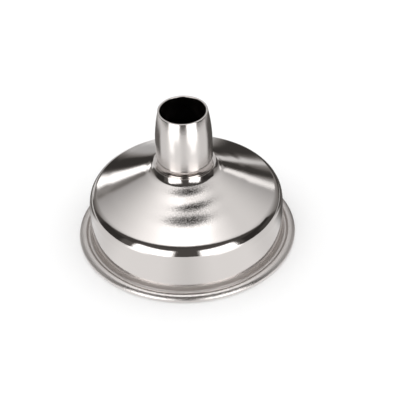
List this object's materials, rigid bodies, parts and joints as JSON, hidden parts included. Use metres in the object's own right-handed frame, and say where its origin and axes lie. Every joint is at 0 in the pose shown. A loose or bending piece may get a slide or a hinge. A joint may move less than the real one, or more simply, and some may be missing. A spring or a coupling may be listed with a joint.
{
  "type": "small pouring funnel",
  "caption": "Small polished steel funnel standing mouth down on a rolled rim, with a straight collar, rounded shoulder, shallow cone and a short tube spout.",
  "frame": {"origin": "centre of the ring on which the rolled rim rests", "axes": "+Z along the funnel's axis, from the wide mouth towards the spout's mouth; X and Y are free, because every piece is a body of revolution"},
  "size_m": [0.036, 0.036, 0.025],
  "materials": {
    "polished_steel": "polished, with a faint spun grain",
    "solder": "satin solder, wiped"
  },
  "bodies": {
    "root": {"bowl": "polished_steel", "spout": "polished_steel", "solder_ring": "solder"}
  },
  "joints": []
}
